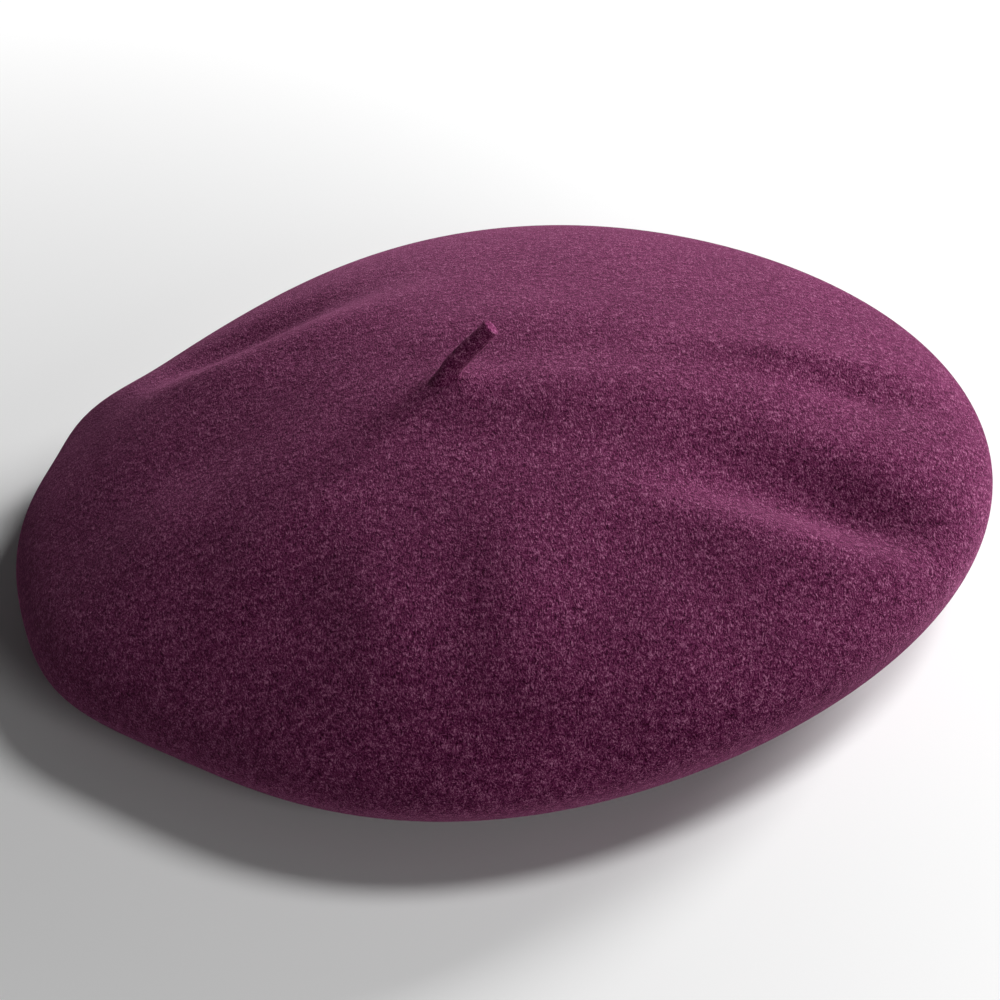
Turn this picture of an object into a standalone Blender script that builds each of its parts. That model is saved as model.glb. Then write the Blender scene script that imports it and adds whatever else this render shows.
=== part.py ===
"""A round felted-wool beret with a stalk, a leather sweatband and a satin lining.

Metres, +Z up. The origin is the middle of the head opening, on the plane that the beret
stands on. +Y is the back of the hat, where the ends of the sweatband meet.
"""

import math

import bpy
from mathutils import Vector

MM = 0.001
GAP = 0.3 * MM  # between pieces that touch on the real hat

# Felt body
CROWN_RADIUS = 140 * MM
RIM_WAVES = (  # (waves round the rim, height of the wave, direction of its first crest)
    (2, 1.8 * MM, math.radians(66)),
    (3, 1.6 * MM, math.radians(-48)),
    (4, 2.9 * MM, math.radians(-6)),
    (5, 1.0 * MM, math.radians(33)),
)
RIM_CORNERS = (  # (direction, half width of the angle, how far the rim is pushed out)
    (math.radians(208.5), math.radians(14), 6.6 * MM),
    (math.radians(155), math.radians(7), 4.0 * MM),
)
FELT_THICKNESS = 2.6 * MM
APEX = Vector((-9.6, -2.3, 62.2)) * MM  # the crown's peak, before its folds and the mound
RIM_HEIGHT = 23.5 * MM  # of the widest point above the table
RIM_LIFT = 5.3 * MM  # how much higher the rim stands at +X, and lower at -X
CROWN_FALL = 1.9  # how soon the crown falls away from the apex
RIM_ROUND = 0.54  # how full the crown is where it turns over the rim
FOLD_FADE = 6  # how late the folds die away towards the rim
UNDER_ROUND = 0.63  # share of the underside's rise that is in the rim's roll
UNDER_SLOPE = 1.5
OPENING_RADIUS = 92 * MM
REST_WIDTH = 8 * MM  # of the flat ring round the opening that the hat stands on
MOUND_HEIGHT = 2 * MM  # the felt is drawn up round the stalk
MOUND_WIDTH = 9 * MM
STALK_HOLE_RADIUS = 2.2 * MM
FOLDS = (  # (x, y, half length, half width, heading in degrees, height) of each soft fold
    (86, -54, 36, 16.5, -17, -8.0),
    (108, -63, 20, 13, -22, -6.0),
    (84, -73, 44, 12, -18, 2.6),
    (83, 18, 42, 15, 4, 2.0),
    (100, 11, 26, 6, -8, 1.4),
    (104, -3, 24, 6, -8, -1.6),
    (109, -8, 22, 14, 20, -2.6),
    (-74, 57, 36, 11, 22, -5.2),
    (-54, 46, 40, 13, 19, 2.6),
    (24, -8, 45, 17, -3, 3.4),
    (-49, -94, 34, 11, 95, -1.0),
    (-36, -112, 44, 13, 100, 1.8),
    (-11, -98, 34, 12, 89, -1.2),
    (-2, -106, 45, 13, 88, 1.6),
    (30, -92, 34, 12, 88, -0.8),
    (52, -94, 30, 13, 108, -1.2),
    (-65, -62, 40, 12, 48, 1.6),
    (-100, -38, 22, 14, 70, 1.5),
    (-92, -16, 42, 20, 38, -3.0),
    (8, 32, 54, 21, 4, 2.5),
)

# Stalk
STALK_RADIUS = 2.7 * MM
STALK_PATH = ((0, 0, 0), (2.7, 0, 2.9), (5.8, 0, 5.9), (8.9, 0, 8.8), (11.8, 0, 11.5))
ROOT_RADIUS = 1.7 * MM
KNOT_RADIUS = 3.6 * MM
KNOT_DEPTH = 4.2 * MM
ROOT_STITCHES = 12
ROOT_STITCH_IN, ROOT_STITCH_OUT = 5.2 * MM, 7.4 * MM  # of the star, from the knot's middle

# Sweatband, and what is sewn to it
SIZE_RADIUS = 90.7 * MM  # inside the leather: 57 cm round the head
LEATHER_THICKNESS = 1.0 * MM
BAND_BOTTOM = 0.4 * MM
BAND_TOP = 30 * MM
JOIN_GAP = 0.8 * MM  # between the band's two ends, at the back
TAPE_THICKNESS = 0.8 * MM
TAPE_BOTTOM, TAPE_TOP = 3 * MM, 11 * MM
THREAD_RADIUS = 0.3 * MM
HEM_STITCHES = 60
HEM_STITCH_LOW, HEM_STITCH_HIGH = 2.2 * MM, 4.6 * MM
JOIN_STITCHES = 9
JOIN_STITCH_LOW = 6.5 * MM
JOIN_STITCH_SIDE = 1.8 * MM  # how far each stitch reaches past the join

# Lining
LINING_THICKNESS = 0.5 * MM
LINING_BOTTOM = 3.2 * MM
SEAM_RADIUS, SEAM_HEIGHT = 96 * MM, 36 * MM
LINING_TOP = 50 * MM
SHIELD_LENGTH, SHIELD_WIDTH = 84 * MM, 60 * MM
SHIELD_THICKNESS = 0.4 * MM
SEAM_STITCHES = 48
SEAM_STITCH_IN = 1.6 * MM  # from the lining crown's edge to the seam's outer stitch holes
SEAM_STITCH_STEP = 0.5 * MM  # between its outer and inner stitch holes
SHIELD_STITCHES = 32
SHIELD_STITCH_OUT, SHIELD_STITCH_IN = 0.95, 0.93  # shares of the shield's own size
LOZENGE_POWER = 1.25  # 1 is a lozenge with straight sides, 2 is an oval

# Bow over the join, and the two tags
BOW_LENGTH, BOW_HEIGHT, BOW_THICKNESS = 30 * MM, 8 * MM, 2.6 * MM
BOW_MIDDLE = 17 * MM  # height above the table
PINCH_HEIGHT, PINCH_THICKNESS = 3.6 * MM, 1.2 * MM
PINCH_REACH = 4 * MM  # the ribbon is flat for this far to each side of the knot's middle
KNOT_BAND, KNOT_WIDTH = 0.8 * MM, 5 * MM
TAG_THICKNESS = 0.4 * MM
TAG_CORNER = 1 * MM
TACK_STEPS = 11  # stitch holes along a tag's top edge
TACK_LOW, TACK_HIGH = 0.9 * MM, 1.9 * MM  # above that edge
TACK_SPAN = 0.9  # share of the tag's width
SIZE_TAG = {"width": 12 * MM, "height": 15 * MM, "top": 22 * MM, "bearing": 68}
CARE_LABEL = {"width": 20 * MM, "height": 20 * MM, "top": 27 * MM, "bearing": 114}

# How finely the pieces are cut
FELT_AROUND = 72
AROUND = 48
CROWN_ROWS = 14
UNDER_ROWS = 7
LINING_ROWS = 5

COLOURS = {  # (linear colour, roughness)
    "felt": ((0.135, 0.034, 0.077), 0.95),
    "leather": ((0.075, 0.036, 0.022), 0.45),
    "cotton": ((0.02, 0.018, 0.02), 0.85),
    "satin": ((0.085, 0.014, 0.04), 0.35),
    "thread": ((0.16, 0.045, 0.09), 0.7),
    "film": ((0.85, 0.87, 0.86), 0.15),
    "ribbon": ((0.06, 0.012, 0.03), 0.6),
    "woven_label": ((0.72, 0.69, 0.62), 0.7),
}


# --- building blocks ---------------------------------------------------------------


def clear_scene():
    for obj in list(bpy.data.objects):
        bpy.data.objects.remove(obj)


def material(slot):
    """The slot's Principled material, made the first time it is asked for."""
    if slot in bpy.data.materials:
        return bpy.data.materials[slot]
    made = bpy.data.materials.new(slot)
    made.use_nodes = True
    colour, roughness = COLOURS[slot]
    shader = made.node_tree.nodes["Principled BSDF"]
    shader.inputs["Base Color"].default_value = (*colour, 1)
    shader.inputs["Roughness"].default_value = roughness
    shader.inputs["Metallic"].default_value = 0
    return made


def add_object(name, data, slot):
    obj = bpy.data.objects.new(name, data)
    data.materials.append(material(slot))
    bpy.context.scene.collection.objects.link(obj)
    return obj


def loft(name, sections, slot, closed=False):
    """A solid through closed sections of equal length, capped unless it joins up with itself."""
    count = len(sections[0])
    points = [point for section in sections for point in section]
    faces = []
    for i in range(len(sections) if closed else len(sections) - 1):
        low, high = i * count, (i + 1) % len(sections) * count
        for j in range(count):
            k = (j + 1) % count
            faces.append((low + j, low + k, high + k, high + j))
    if not closed:
        faces.append(tuple(reversed(range(count))))
        faces.append(tuple(range(len(points) - count, len(points))))
    mesh = bpy.data.meshes.new(name)
    mesh.from_pydata(points, [], faces)
    mesh.shade_smooth()
    mesh.set_sharp_from_angle(angle=math.radians(40))
    return add_object(name, mesh, slot)


def cord_curve(name, points, radius, slot, closed=False, radii=None, resolution=1):
    """A round cord through the points: a thread, or with radii a shape that swells and narrows."""
    curve = bpy.data.curves.new(name, "CURVE")
    curve.dimensions = "3D"
    curve.bevel_depth = radius
    curve.bevel_resolution = resolution
    curve.use_fill_caps = not closed
    spline = curve.splines.new("POLY")
    spline.points.add(len(points) - 1)
    for i, point in enumerate(points):
        spline.points[i].co = (*point, 1)
        spline.points[i].radius = radii[i] / radius if radii else 1
    spline.use_cyclic_u = closed
    spline.use_smooth = True
    return add_object(name, curve, slot)


def turned_ring(profile, angle):
    """The profile's (radius, height) points, turned about the Z axis to an angle."""
    return [Vector((r * math.cos(angle), r * math.sin(angle), z)) for r, z in profile]


def angles(count=AROUND):
    return [2 * math.pi * i / count for i in range(count)]


def smooth_line(points, per_span):
    """A Catmull-Rom curve through the points, with per_span steps between each two."""
    ends = [points[0] * 2 - points[1], *points, points[-1] * 2 - points[-2]]
    line = []
    for a, b, c, d in zip(ends, ends[1:], ends[2:], ends[3:]):
        for i in range(per_span):
            t = i / per_span
            line.append(
                0.5 * (2 * b + (c - a) * t + (2 * a - 5 * b + 4 * c - d) * t**2
                       + (3 * b - 3 * c + d - a) * t**3)
            )
    return [*line, points[-1]]


# --- felt body ---------------------------------------------------------------------


def rim_radius(angle):
    radius = CROWN_RADIUS
    for count, height, crest in RIM_WAVES:
        radius += height * math.cos(count * (angle - crest))
    for middle, width, height in RIM_CORNERS:
        off = math.remainder(angle - middle, 2 * math.pi)
        radius += height * math.exp(-((off / width) ** 2))
    return radius


def outline_middle():
    """The middle of the rim's own box, which is brought over the head opening."""
    rim = [(rim_radius(a) * math.cos(a), rim_radius(a) * math.sin(a)) for a in angles(360)]
    xs, ys = zip(*rim)
    return Vector((min(xs) + max(xs), min(ys) + max(ys), 0)) / 2


RIM_OFFSET = outline_middle()


def rim_height(angle):
    return RIM_HEIGHT + RIM_LIFT * math.cos(angle)


def fold_height(x, y):
    """How far the soft folds lift the crown at a place, in metres."""
    total = 0.0
    for fold_x, fold_y, length, width, heading, height in FOLDS:
        turn = math.radians(heading)
        dx, dy = x - fold_x * MM, y - fold_y * MM
        along = dx * math.cos(turn) + dy * math.sin(turn)
        across = dy * math.cos(turn) - dx * math.sin(turn)
        total += height * MM * math.exp(-((along / length / MM) ** 2) - (across / width / MM) ** 2)
    return total


def crown_point(share, angle):
    """A point of the crown's outside: share is 0 at the apex and 1 at the rim."""
    reach = share * rim_radius(angle)
    place = Vector((reach * math.cos(angle), reach * math.sin(angle), 0))
    place += Vector((APEX.x, APEX.y, 0)) * (1 - share**2) - RIM_OFFSET * share**2
    dome = (1 - share**CROWN_FALL) ** RIM_ROUND
    from_stalk = math.hypot(place.x - APEX.x, place.y - APEX.y)
    mound = MOUND_HEIGHT * math.exp(-((from_stalk / MOUND_WIDTH) ** 2))
    height = rim_height(angle) + (APEX.z - rim_height(angle)) * dome
    place.z = height + mound + fold_height(place.x, place.y) * (1 - share**FOLD_FADE)
    return place


def under_point(share, angle):
    """A point of the underside: share is 0 at the rim and 1 where it comes to lie flat."""
    flat_radius = OPENING_RADIUS + REST_WIDTH
    radius = rim_radius(angle) + (flat_radius - rim_radius(angle)) * share
    left = 1 - share
    roll = 1 - math.sqrt(1 - left**2)
    height = rim_height(angle) * (UNDER_ROUND * roll + (1 - UNDER_ROUND) * left**UNDER_SLOPE)
    place = Vector((radius * math.cos(angle), radius * math.sin(angle), height))
    return place - RIM_OFFSET * left


def crown_shares():
    """Rows of the crown, close together near the stalk and near the rim."""
    first = STALK_HOLE_RADIUS / CROWN_RADIUS
    steps = [math.sin(math.pi / 2 * i / CROWN_ROWS) ** 2.2 for i in range(CROWN_ROWS + 1)]
    return [first + (1 - first) * step for step in steps]


def outer_rings():
    """The felt's outside as rings of points, from the stalk's hole to the head opening."""
    turns = angles(FELT_AROUND)
    rings = [[crown_point(share, a) for a in turns] for share in crown_shares()]
    for i in range(1, UNDER_ROWS + 1):
        share = 1 - math.cos(math.pi / 2 * i / UNDER_ROWS)
        rings.append([under_point(share, a) for a in turns])
    rings.append(turned(OPENING_RADIUS, 0, FELT_AROUND))
    return rings


def turned(radius, height, count=AROUND):
    return [Vector((radius * math.cos(a), radius * math.sin(a), height)) for a in angles(count)]


def inner_rings(rings):
    """The felt's inside: each ring moved in by the felt's thickness, square to the surface."""
    moved = []
    for i, ring in enumerate(rings):
        before, after = rings[max(i - 1, 0)], rings[min(i + 1, len(rings) - 1)]
        inner = []
        for j, point in enumerate(ring):
            outward = after[j] - before[j]
            around = ring[(j + 1) % FELT_AROUND] - ring[j - 1]
            normal = outward.cross(around).normalized()
            if i == 0:
                normal = Vector((0, 0, 1))
            if i == len(rings) - 1:
                normal = Vector((0, 0, -1))
            inner.append(point - normal * FELT_THICKNESS)
        moved.append(inner)
    return moved


def make_felt_body():
    outside = outer_rings()
    inside = inner_rings(outside)
    loft("felt_body", [*inside, *reversed(outside)], "felt", closed=True)


# --- stalk -------------------------------------------------------------------------


def crown_top():
    """The height of the felt under the stalk."""
    return APEX.z + MOUND_HEIGHT + fold_height(APEX.x, APEX.y)


def stalk_pivot():
    """The middle of the stalk's round foot, just above the felt's mound."""
    return Vector((APEX.x, APEX.y, crown_top() + STALK_RADIUS + GAP))


def make_stalk():
    """The visible stub, round at its foot so that it can lean without touching the felt."""
    line = smooth_line([Vector(p) * MM for p in STALK_PATH], 3)
    foot = [
        Vector((0, 0, -STALK_RADIUS * math.cos(a))) for a in map(math.radians, (12, 35, 60))
    ]
    foot_radii = [STALK_RADIUS * math.sin(a) for a in map(math.radians, (12, 35, 60))]
    tip_step = (line[-1] - line[-2]).normalized()
    tip = [line[-1] + tip_step * x * MM for x in (0.35, 0.6)]
    radii = [*foot_radii, *[STALK_RADIUS] * len(line), STALK_RADIUS * 0.86, STALK_RADIUS * 0.6]
    stalk = cord_curve(
        "stalk", [*foot, *line, *tip], STALK_RADIUS, "felt", radii=radii, resolution=3
    )
    stalk.location = stalk_pivot()


def make_stalk_root():
    """The stalk's tail, threaded down through the felt to a knot on the inside."""
    top = crown_top()
    felt_inside = top - FELT_THICKNESS
    knot_top = felt_inside - GAP
    knot_middle = knot_top - KNOT_DEPTH / 2
    heights = [top, knot_top + GAP / 2]
    radii = [ROOT_RADIUS, ROOT_RADIUS]
    for bearing in (65, 40, 15, -15, -40, -65):
        lift = math.radians(bearing)
        heights.append(knot_middle + KNOT_DEPTH / 2 * math.sin(lift))
        radii.append(KNOT_RADIUS * math.cos(lift))
    points = [Vector((APEX.x, APEX.y, z)) for z in heights]
    cord_curve("stalk_root", points, ROOT_RADIUS, "felt", radii=radii, resolution=3)


def make_root_stitching():
    """A star of thread that tacks the knot to the inside of the felt."""
    points = []
    for i in range(ROOT_STITCHES):
        reach = ROOT_STITCH_IN if i % 2 else ROOT_STITCH_OUT
        turn = 2 * math.pi * i / ROOT_STITCHES
        share = reach / CROWN_RADIUS
        height = crown_point(share, turn).z - FELT_THICKNESS - GAP - 2 * THREAD_RADIUS
        points.append(
            Vector((APEX.x + reach * math.cos(turn), APEX.y + reach * math.sin(turn), height))
        )
    cord_curve("root_stitching", points, THREAD_RADIUS, "thread", closed=True)


# --- sweatband ---------------------------------------------------------------------


def make_sweatband():
    """A leather strip bent round the opening, its two ends facing each other at the back."""
    outside = SIZE_RADIUS + LEATHER_THICKNESS
    profile = [
        (SIZE_RADIUS, BAND_BOTTOM),
        (outside, BAND_BOTTOM),
        (outside, BAND_TOP),
        (SIZE_RADIUS, BAND_TOP),
    ]
    half_gap = JOIN_GAP / 2 / SIZE_RADIUS
    start, end = math.pi / 2 + half_gap, math.pi * 5 / 2 - half_gap
    turns = [start + (end - start) * i / AROUND for i in range(AROUND + 1)]
    sections = [turned_ring(profile, turn) for turn in turns]
    loft("sweatband", [list(reversed(s)) for s in sections], "leather")


def make_stay_tape():
    """A cotton tape behind the leather that keeps the opening from stretching."""
    inside = SIZE_RADIUS + LEATHER_THICKNESS + GAP
    rings = [
        turned(inside, TAPE_BOTTOM),
        turned(inside + TAPE_THICKNESS, TAPE_BOTTOM),
        turned(inside + TAPE_THICKNESS, TAPE_TOP),
        turned(inside, TAPE_TOP),
    ]
    loft("stay_tape", rings, "cotton", closed=True)


def make_hem_stitching():
    """The zigzag seam along the foot of the sweatband."""
    radius = SIZE_RADIUS - GAP - THREAD_RADIUS
    points = []
    for i in range(2 * HEM_STITCHES):
        turn = math.pi * i / HEM_STITCHES
        height = HEM_STITCH_HIGH if i % 2 else HEM_STITCH_LOW
        points.append(Vector((radius * math.cos(turn), radius * math.sin(turn), height)))
    cord_curve("hem_stitching", points, THREAD_RADIUS, "thread", closed=True)


def make_join_stitching():
    """The zigzag that draws the sweatband's ends together under the bow."""
    radius = SIZE_RADIUS - GAP - THREAD_RADIUS
    low, high = JOIN_STITCH_LOW, BOW_MIDDLE - BOW_HEIGHT / 2 - 4 * THREAD_RADIUS
    points = []
    for i in range(JOIN_STITCHES):
        side = JOIN_STITCH_SIDE * (1 if i % 2 else -1)
        height = low + (high - low) * i / (JOIN_STITCHES - 1)
        points.append(Vector((side, math.sqrt(radius**2 - side**2), height)))
    cord_curve("join_stitching", points, THREAD_RADIUS, "thread")


# --- bow and tags ------------------------------------------------------------------


def oval(middle, half_depth, half_height, count=12):
    """A flattened round section in the YZ plane."""
    section = []
    for turn in angles(count):
        c, s = math.cos(turn), math.sin(turn)
        y = half_depth * math.copysign(abs(c) ** 0.7, c)
        z = half_height * math.copysign(abs(s) ** 0.7, s)
        section.append(middle + Vector((0, y, z)))
    return section


def pinch_depth():
    """Where the bow's pinched middle lies, with the knot's band between it and the leather."""
    return SIZE_RADIUS - 2 * GAP - KNOT_BAND - PINCH_THICKNESS / 2


def make_bow_ribbon():
    """Two flat loops of one ribbon, pinched in the middle, on the band's curved inside."""
    half = [
        (3.0, PINCH_THICKNESS, PINCH_HEIGHT),
        (5.5, 0.75 * BOW_THICKNESS, 0.7 * BOW_HEIGHT),
        (9.0, BOW_THICKNESS, BOW_HEIGHT),
        (13.0, 0.9 * BOW_THICKNESS, 0.95 * BOW_HEIGHT),
        (BOW_LENGTH / 2 / MM, 0.4 * BOW_THICKNESS, 0.8 * BOW_HEIGHT),
    ]
    stations = [(-x, depth, height) for x, depth, height in reversed(half)] + half
    sections = []
    for x, depth, height in stations:
        on_band = math.sqrt((SIZE_RADIUS - 2 * GAP) ** 2 - (x * MM) ** 2) - depth / 2
        y = pinch_depth() if abs(x * MM) < PINCH_REACH else on_band
        sections.append(oval(Vector((x * MM, y, BOW_MIDDLE)), depth / 2, height / 2))
    loft("bow_ribbon", sections, "ribbon")


def make_bow_knot():
    """The short band wrapped round the bow's pinched middle."""
    rings = []
    for x, grow in ((-1, GAP), (-1, GAP + KNOT_BAND), (1, GAP + KNOT_BAND), (1, GAP)):
        middle = Vector((x * KNOT_WIDTH / 2, pinch_depth(), BOW_MIDDLE))
        rings.append(oval(middle, PINCH_THICKNESS / 2 + grow, PINCH_HEIGHT / 2 + grow))
    loft("bow_knot", rings, "ribbon", closed=True)


def make_tag(name, size, slot):
    """A tag that hangs down the inside of the sweatband, with its origin on its sewn top edge."""
    half = size["width"] / 2
    outline = [
        (-half, 0),
        (half, 0),
        (half, TAG_CORNER - size["height"]),
        (half - TAG_CORNER, -size["height"]),
        (TAG_CORNER - half, -size["height"]),
        (-half, TAG_CORNER - size["height"]),
    ]
    faces = [[Vector((depth, u, v)) for u, v in outline] for depth in (0, -TAG_THICKNESS)]
    tag = loft(name, faces, slot)
    stand_off = math.sqrt((SIZE_RADIUS - GAP) ** 2 - half**2) - GAP
    bearing = math.radians(size["bearing"])
    tag.location = (stand_off * math.cos(bearing), stand_off * math.sin(bearing), size["top"])
    tag.rotation_euler = (0, 0, bearing)
    return tag


def make_tack(name, size):
    """The zigzag of thread just above a tag's top edge that sews it to the leather."""
    radius = SIZE_RADIUS - GAP - THREAD_RADIUS
    points = []
    for i in range(TACK_STEPS):
        side = size["width"] * TACK_SPAN * (i / (TACK_STEPS - 1) - 0.5)
        turn = math.radians(size["bearing"]) + side / radius
        height = size["top"] + (TACK_HIGH if i % 2 else TACK_LOW)
        points.append(Vector((radius * math.cos(turn), radius * math.sin(turn), height)))
    cord_curve(name, points, THREAD_RADIUS, "thread")


# --- lining ------------------------------------------------------------------------


def lining_foot():
    return SIZE_RADIUS + LEATHER_THICKNESS + TAPE_THICKNESS + 2 * GAP


def make_lining_side():
    """The strip of satin that stands between the sweatband and the lining's crown."""
    foot = lining_foot() + GAP
    rise = [i / LINING_ROWS for i in range(LINING_ROWS + 1)]
    spots = [
        (foot + (SEAM_RADIUS - foot) * t**1.5, LINING_BOTTOM + (SEAM_HEIGHT - LINING_BOTTOM) * t)
        for t in rise
    ]
    rings = [turned(r, z) for r, z in spots]
    rings += [turned(r + LINING_THICKNESS, z) for r, z in reversed(spots)]
    loft("lining_side", [list(reversed(ring)) for ring in rings], "satin", closed=True)


def lining_height(reach):
    """The underside of the lining's crown, which bellies up between its seams."""
    edge = SEAM_HEIGHT + GAP + LINING_THICKNESS
    return edge + (LINING_TOP - edge) * (1 - min(reach / SEAM_RADIUS, 1) ** 2)


def make_lining_crown():
    """The round satin top of the lining."""
    reaches = [SEAM_RADIUS * (i + 0.4) / (LINING_ROWS + 0.4) for i in range(LINING_ROWS + 1)]
    under = [turned(r, lining_height(r)) for r in reaches]
    over = [turned(r, lining_height(r) + LINING_THICKNESS) for r in reversed(reaches)]
    loft("lining_crown", [*under, *over], "satin")


def make_lining_seam():
    """The stitches that join the lining's crown to its side."""
    points = []
    for i in range(2 * SEAM_STITCHES):
        turn = math.pi * i / SEAM_STITCHES
        step = SEAM_STITCH_STEP if i % 2 else 0
        reach = SEAM_RADIUS - SEAM_STITCH_IN - step
        height = lining_height(reach) - GAP - THREAD_RADIUS - step / 2
        points.append(Vector((reach * math.cos(turn), reach * math.sin(turn), height)))
    cord_curve("lining_seam", points, THREAD_RADIUS, "thread", closed=True)


def shield_outline(turn, grow):
    """A lozenge with round corners, across the middle of the lining's crown."""
    c, s = math.cos(turn), math.sin(turn)
    half_x, half_y = (SHIELD_LENGTH / 2) * grow, (SHIELD_WIDTH / 2) * grow
    sides = abs(c / half_x) ** LOZENGE_POWER + abs(s / half_y) ** LOZENGE_POWER
    reach = sides ** (-1 / LOZENGE_POWER)
    return reach * c, reach * s


def make_crown_shield():
    """The clear lozenge sewn over the middle of the lining, which keeps it clean."""
    rings = []
    rows = [(i + 0.4) / 3.4 for i in range(4)]
    for drop, grows in ((GAP + SHIELD_THICKNESS, rows), (GAP, list(reversed(rows)))):
        for grow in grows:
            ring = []
            for turn in angles(32):
                x, y = shield_outline(turn, grow)
                ring.append(Vector((x, y, lining_height(math.hypot(x, y)) - drop)))
            rings.append(ring)
    loft("crown_shield", rings, "film")


def make_shield_stitching():
    points = []
    for i in range(2 * SHIELD_STITCHES):
        turn = math.pi * i / SHIELD_STITCHES
        x, y = shield_outline(turn, SHIELD_STITCH_IN if i % 2 else SHIELD_STITCH_OUT)
        drop = GAP * 2 + SHIELD_THICKNESS + THREAD_RADIUS
        points.append(Vector((x, y, lining_height(math.hypot(x, y)) - drop)))
    cord_curve("shield_stitching", points, THREAD_RADIUS, "thread", closed=True)


def main():
    clear_scene()
    make_felt_body()
    make_stalk()
    make_stalk_root()
    make_root_stitching()
    make_sweatband()
    make_stay_tape()
    make_hem_stitching()
    make_join_stitching()
    make_bow_ribbon()
    make_bow_knot()
    make_tag("size_tag", SIZE_TAG, "woven_label")
    make_tack("size_tag_tack", SIZE_TAG)
    make_tag("care_label", CARE_LABEL, "woven_label")
    make_tack("care_label_tack", CARE_LABEL)
    make_lining_side()
    make_lining_crown()
    make_lining_seam()
    make_crown_shield()
    make_shield_stitching()


main()
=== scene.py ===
"""The looks of the wool beret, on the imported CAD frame. Metres, +Z up."""

import math

import bpy
import numpy as np
from mathutils import Matrix, Vector


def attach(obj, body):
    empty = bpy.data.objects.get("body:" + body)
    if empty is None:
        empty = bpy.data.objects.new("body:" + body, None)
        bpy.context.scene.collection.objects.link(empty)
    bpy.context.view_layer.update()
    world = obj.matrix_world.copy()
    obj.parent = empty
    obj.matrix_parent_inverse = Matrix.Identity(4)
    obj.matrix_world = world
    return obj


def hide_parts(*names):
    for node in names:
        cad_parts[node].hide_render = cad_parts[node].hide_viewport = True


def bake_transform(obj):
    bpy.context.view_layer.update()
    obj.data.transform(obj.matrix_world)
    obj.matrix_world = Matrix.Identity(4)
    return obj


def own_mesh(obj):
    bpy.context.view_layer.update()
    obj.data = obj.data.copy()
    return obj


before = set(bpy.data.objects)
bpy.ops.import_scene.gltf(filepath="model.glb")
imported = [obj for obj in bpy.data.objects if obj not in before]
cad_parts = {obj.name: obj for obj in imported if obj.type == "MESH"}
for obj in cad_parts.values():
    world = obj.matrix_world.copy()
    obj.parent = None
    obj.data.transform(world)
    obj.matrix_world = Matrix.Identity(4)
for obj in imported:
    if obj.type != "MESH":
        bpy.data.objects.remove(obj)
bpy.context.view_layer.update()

MM = 0.001
rng = np.random.default_rng(20)

# --- sizes shared with the CAD model ------------------------------------------------
CROWN_RADIUS = 140 * MM
RIM_WAVES = ((2, 1.8, 66), (3, 1.6, -48), (4, 2.9, -6), (5, 1.0, 33))
RIM_CORNERS = ((208.5, 14, 6.6), (155, 7, 4.0))
FELT_THICKNESS = 2.6 * MM
APEX = np.array((-9.6, -2.3, 62.2)) * MM
RIM_HEIGHT = 23.5 * MM
RIM_LIFT = 5.3 * MM
CROWN_FALL = 1.9
RIM_ROUND = 0.54
UNDER_ROUND = 0.63
UNDER_SLOPE = 1.5
OPENING_RADIUS = 92 * MM
REST_WIDTH = 8 * MM
MOUND_HEIGHT = 2 * MM
MOUND_WIDTH = 9 * MM
FOLDS = (  # x, y, half length, half width, heading, height: millimetres and degrees
    (86, -54, 36, 16.5, -17, -8.0),
    (108, -63, 20, 13, -22, -6.0),
    (84, -73, 44, 12, -18, 2.6),
    (83, 18, 42, 15, 4, 2.0),
    (100, 11, 26, 6, -8, 1.4),
    (104, -3, 24, 6, -8, -1.6),
    (109, -8, 22, 14, 20, -2.6),
    (-74, 57, 36, 11, 22, -5.2),
    (-54, 46, 40, 13, 19, 2.6),
    (24, -8, 45, 17, -3, 3.4),
    (-49, -94, 34, 11, 95, -1.0),
    (-36, -112, 44, 13, 100, 1.8),
    (-11, -98, 34, 12, 89, -1.2),
    (-2, -106, 45, 13, 88, 1.6),
    (30, -92, 34, 12, 88, -0.8),
    (52, -94, 30, 13, 108, -1.2),
    (-65, -62, 40, 12, 48, 1.6),
    (-100, -38, 22, 14, 70, 1.5),
    (-92, -16, 42, 20, 38, -3.0),
    (8, 32, 54, 21, 4, 2.5),
)
STALK_RADIUS = 2.7 * MM
PIVOT = np.array((-9.6, -2.3, 69.25)) * MM
STALK_PATH = ((0, 0, 0), (2.7, 0, 2.9), (5.8, 0, 5.9), (8.9, 0, 8.8), (11.8, 0, 11.5))
GAP = 0.3 * MM
SIZE_RADIUS = 90.7 * MM
LEATHER_THICKNESS = 1.0 * MM
BAND_BOTTOM, BAND_TOP = 0.4 * MM, 30 * MM
JOIN_GAP = 0.8 * MM
TAPE_THICKNESS = 0.8 * MM
TAPE_BOTTOM, TAPE_TOP = 3 * MM, 11 * MM
THREAD_RADIUS = 0.3 * MM
HEM_STITCHES, JOIN_STITCHES, SEAM_STITCHES, SHIELD_STITCHES = 60, 9, 48, 32
HEM_STITCH_LOW, HEM_STITCH_HIGH = 2.2 * MM, 4.6 * MM
LINING_BOTTOM, LINING_TOP = 3.2 * MM, 50 * MM
SEAM_RADIUS, SEAM_HEIGHT = 96 * MM, 36 * MM
SHIELD_LENGTH, SHIELD_WIDTH = 84 * MM, 60 * MM
BOW_LENGTH, BOW_HEIGHT, BOW_THICKNESS, BOW_MIDDLE = 30 * MM, 8 * MM, 2.6 * MM, 17 * MM
PINCH_THICKNESS, KNOT_BAND, KNOT_WIDTH = 1.2 * MM, 0.8 * MM, 5 * MM
TAG_THICKNESS = 0.4 * MM
SIZE_TAG = {"width": 12 * MM, "height": 15 * MM, "top": 22 * MM, "bearing": 68}
CARE_LABEL = {"width": 20 * MM, "height": 20 * MM, "top": 27 * MM, "bearing": 114}
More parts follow.
